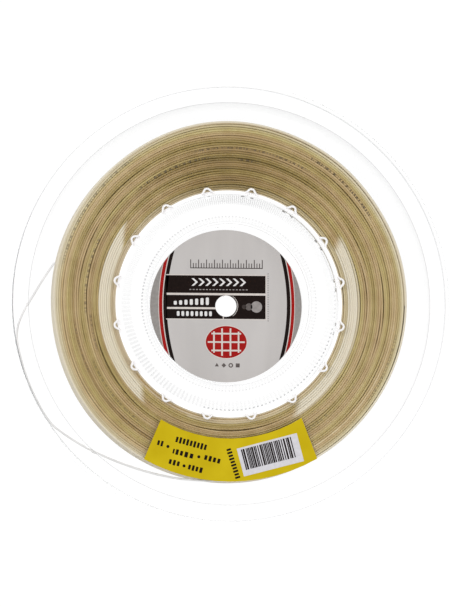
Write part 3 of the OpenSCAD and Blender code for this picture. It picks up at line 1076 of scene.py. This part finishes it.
def makeSilverPrint(v):
    # the paper and its print, each ink a layer over the last
    low, high = extent("centre_label")
    sheetLow, radius = float(high[2]), float(high[0]) - 0.05
    left, right, bottom, top = v["panel"]
    wide = v["outline"]
    hole = hub["boreRadius"] + v["holeMargin"]

    def put(name, ink, level, shapes):
        # one print, as many layers of ink above the CAD label as the level says
        addPrint("label" + name, shapes, sheetLow + level * inkThickness, inks[ink])

    def stripes(kind):
        return [stripeOutline(v, side, place - width / 2, place + width / 2, radius)
                for side, place, width in v[kind]]

    circle = oval(2, 2, 96)
    addPrint("labelSheet", [(circle * v["reach"], circle * hole)], sheetLow, silverPaper)
    put("SideFields", "grey", 1, [stripeOutline(v, side, place, radius * 1.2, radius)
                                  for side, place in v["sideFields"]])
    put("Black", "black", 1, stripes("blackStripes") + [panelWithHole(v, hole)])
    put("Red", "red", 1, stripes("redStripes"))
    put("Hairlines", "pale", 2, stripes("hairlines") + [
        framedBar(left, right + 1, top, top + wide), framedBar(left, right + 1, bottom - wide, bottom),
        framedBar(right, right + wide, bottom, top)])
    holes = v["perforation"]
    put("Perforation", "shade", 1, [placed(oval(holes["size"], holes["size"], 10),
                                           right + holes["out"], y)
                                    for y in np.arange(bottom - 1, top + 1.4, holes["pitch"])])
    put("Rules", "pale", 2, [placed(bar(width, height), x, y)
                             for x, y, width, height in v["rules"]] + [arcBand(*v["holeArc"])])
    ruler = v["ruler"]
    ticks = np.arange(ruler["left"], ruler["right"], ruler["pitch"])
    half = ruler["line"] / 2
    put("Ruler", "brown", 1, [framedBar(ruler["left"] - half, ruler["right"] + half,
                                        ruler["foot"] - half, ruler["foot"] + half)]
        + [framedBar(x - half, x + half, ruler["foot"],
                     ruler["foot"] + ruler["short" if i % 3 else "tall"])
           for i, x in enumerate(ticks)])
    pills = v["pills"]
    heights = np.linspace(*pills["heights"], pills["count"])
    put("White", "white", 2, row(v["chevrons"], chevron(*v["chevrons"]["size"]))
        + [placed(bar(pills["width"], height, pills["round"]), pills["left"] + i * pills["pitch"],
                  pills["foot"] + height / 2) for i, height in enumerate(heights)]
        + row(v["lowerPills"], bar(*v["lowerPills"]["size"])))
    put("Dashes", "shade", 2, row(v["smallDashes"], bar(*v["smallDashes"]["size"])))
    for i, (x, width, ink) in enumerate(v["dots"]):
        put("Dot%d" % (i + 1), ink, 2, [placed(oval(width, width), x, v["dotsAt"])])
    x, y, width, height = v["emblem"]
    edge = 2 * v["emblemEdge"]
    put("OvalEdge", "pale", 1, [placed(oval(width + edge, height + edge, 64), x, y)])
    put("Oval", "red", 2, [placed(oval(width, height, 64), x, y)])
    lines = v["emblemLines"]
    halfWidth, halfHeight = width / 2 - lines["inset"], height / 2 - lines["inset"]
    grid = [placed(bar(lines["line"], 2 * halfHeight * math.sqrt(1 - (a / halfWidth) ** 2)),
                   x + a, y) for a in lines["across"]]
    grid += [placed(bar(2 * halfWidth * math.sqrt(1 - (a / halfHeight) ** 2), lines["line"]),
                    x, y + a) for a in lines["along"]]
    for i, line in enumerate(grid):
        put("Grid%d" % (i + 1), "pale", 3 + i / 15, [line])
    marks = v["marks"]
    size = marks["size"]
    shapes = [oval(size, size, 3), oval(size, size, 4),
              (oval(size, size, 16), oval(size / 2, size / 2, 16)),
              bar(size * 0.85, size * 0.85)]
    put("Marks", "brownGrey", 1, [placed(shape, marks["left"] + i * marks["pitch"], marks["y"], 90)
                                  for i, shape in enumerate(shapes)])


yellowLabel = {
    "slant": -15,            # of the rows of print, in degrees
    # rows of word-like bars: middle, length, height, share of each bar
    "rows": [
        ((-23.4, -85.9), 20.3, 3.9, (1, 1, 1, 1, 1, 1, 1, 1, 1)),
        ((-42.4, -85.9), 4.4, 3.4, (1, 1)),
        ((-28.3, -92.3), 13.8, 3.4, (0.6, 1, 1, 1.2, 1.2)),
        ((-10.4, -95.6), 11.0, 3.4, (1, 1, 1, 0, 1)),
        ((-33.8, -97.8), 7.6, 3.4, (1, 1, 1)),
        ((-20.8, -101.4), 9.9, 3.4, (1, 1, 1, 1.2)),
    ],
    "dots": [(-37.7, -87.9), (-18.7, -94.1), (-27.8, -99.7)],
    "dotSize": 1.9,
    "side": ((2.5, -98.1), 19.8, 3.2, (1,) * 10),
    "sideSlant": -72,
    "codeField": [(4.6, -89.0), (41.6, -79.1), (46.1, -96.3), (9.1, -106.0)],
    "codeStrokes": 27,
    "codeWidths": [0.8, 1.0, 1.5, 2.6],      # of strokes and gaps, picked at random
    "codeBolder": 1.3,       # by which a stroke is wider than a gap
    "codeSpan": (0.06, 0.9),         # share of the field's width that the strokes fill
    "codeHeight": (0.07, 0.8),
    "seed": 12,
}


def wordBars(place, length, height, shares, turn):
    # a row of upright bars that fills the length, as a word would
    shares = np.array(shares, float)
    ends = np.cumsum(shares) / shares.sum() * length
    starts = ends - shares / shares.sum() * length
    bars = []
    for i, (a, b) in enumerate(zip(starts, ends)):
        if b > a:
            shape = bar((b - a) * 0.62, height * (1.0 if i % 2 else 0.86), 0.25)
            bars.append(placed(shape + ((a + b - length) / 2, 0), *place, turn))
    return bars


def makeYellowPrint(v):
    # rows of bars and dots, and a field of strokes between four corners
    top = float(extent("size_label")[1][2])
    shapes = [b for line in v["rows"] for b in wordBars(*line, v["slant"])]
    shapes += [placed(oval(v["dotSize"], v["dotSize"], 14), *place) for place in v["dots"]]
    shapes += wordBars(*v["side"], v["sideSlant"])
    a, b, c, d = (np.array(corner) for corner in v["codeField"])

    def at(along, down):
        # a place in the field by its shares along and across
        return (1 - down) * ((1 - along) * a + along * b) + down * ((1 - along) * d + along * c)

    random = np.random.default_rng(v["seed"])
    widths = random.choice(v["codeWidths"], 2 * v["codeStrokes"])
    widths[::2] += v["codeBolder"]
    first, last = v["codeSpan"]
    ends = first + (last - first) * np.concatenate([[0], np.cumsum(widths) / widths.sum()])
    upper, lower = v["codeHeight"]
    strokes = [np.array([at(x0, upper), at(x0, lower), at(x1, lower), at(x1, upper)])
               for x0, x1 in zip(ends[:-1:2], ends[1::2])]
    for name, outlines, low, ink in (
            ("sizePrint", shapes, top, "black"), ("codeField", [np.array([a, d, c, b])], top, "lilac"),
            ("codeStrokes", strokes, top + inkThickness, "black")):
        addPrint(name, outlines, low, inks[ink])


# the silver sheet's streaks up and down are painted sheen
silverPaper = coatedPaper("silverLabelPaper", "#bfbbb9", "#c8c4c2", 0.2)
yellowPaper = coatedPaper("yellowLabelPaper", "#c3aa0e", "#ceb616", 1.0)
inks = {name: printedInk(name, dark, light) for name, dark, light in (
    ("black", "#140b08", "#1b110e"), ("lilac", "#cfcdd2", "#dad8dc"),
    ("brown", "#352c2a", "#403735"), ("red", "#991715", "#a41d1a"),
    ("pale", "#cfc6c0", "#dad3ce"), ("white", "#dcdad9", "#e8e6e5"), ("grey", "#918c89", "#9c9895"),
    ("shade", "#8f8987", "#a19b99"), ("dark", "#3b3331", "#453d3a"),
    ("brownGrey", "#5b5452", "#6a6361"))}
for node, material in (("centre_label", silverPaper), ("size_label", yellowPaper)):
    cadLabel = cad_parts[node]
    cadLabel.data.materials.clear()
    cadLabel.data.materials.append(material)
makeSilverPrint(silverLabel)
makeYellowPrint(yellowLabel)
print("labels made")

studio = {
    "floorHalf": 3000,
    "floorDrop": 0.1,        # the floor lies this far under the rim
    "floorGlow": 1.08,
    "ownLight": 0.9,         # share of the floor's white that no shadow takes away
    "worldLight": 0.6,
    "lamps": [                 # name, place, width, power in watts
        ("keyLight", (-700, 500, 1100), 900, 7.2),
        ("fillLight", (800, -300, 1000), 900, 4.0),
    ],
}


def makeStudio(v):
    # a flat white sweep under the reel, the white around it and the lamps
    corners = bar(2 * v["floorHalf"], 2 * v["floorHalf"])
    floor = addMesh("floor", np.column_stack([corners, np.full(4, -v["floorDrop"])]),
                    [(0, 1, 2, 3)])
    # matt paint that shows white and keeps a little of the reel's shadow
    material, sweep = newMaterial("whiteSweep")
    floor.data.materials.append(material)
    world = bpy.data.worlds.new("studio")
    scene.world = world
    world.use_nodes = True
    room, white = world.node_tree, linear("#ffffff")
    room.nodes.clear()
    matt = addNode(sweep, "BsdfDiffuse", {"Color": linear("#f4f4f4")})
    glow = addNode(sweep, "Emission", {"Color": white, "Strength": v["floorGlow"]})
    light, plain = (addNode(room, "Background", {"Color": white, "Strength": strength})
                    for strength in (v["worldLight"], 1.0))
    # the second look is for what the camera sees, also in a mirror or through clear plastic
    for tree, kind, share, first, second in ((sweep, "Material", v["ownLight"], matt, glow),
                                             (room, "World", 1.0, light, plain)):
        ray = addNode(tree, "LightPath").outputs
        seen = ray["Is Camera Ray"]
        for reason in (ray["Is Glossy Ray"], ray["Is Transmission Ray"]):
            seen = addNode(tree, "Math", {0: seen, 1: reason}, operation="MAXIMUM")
        seen = addNode(tree, "Math", {0: seen, 1: share}, operation="MULTIPLY")
        mixed = addNode(tree, "MixShader", {"Fac": seen, 1: first, 2: second})
        addNode(tree, "Output" + kind, {"Surface": mixed})
    for name, place, size, power in v["lamps"]:
        data = bpy.data.lights.new(name, "AREA")
        data.shape, data.size, data.energy = "SQUARE", size / perMetre, power
        lamp = addThing(name, data)
        lamp.location = Vector(place) / perMetre
        lamp.rotation_euler = lamp.location.to_track_quat("Z", "Y").to_euler()
    print("studio made")


makeStudio(studio)
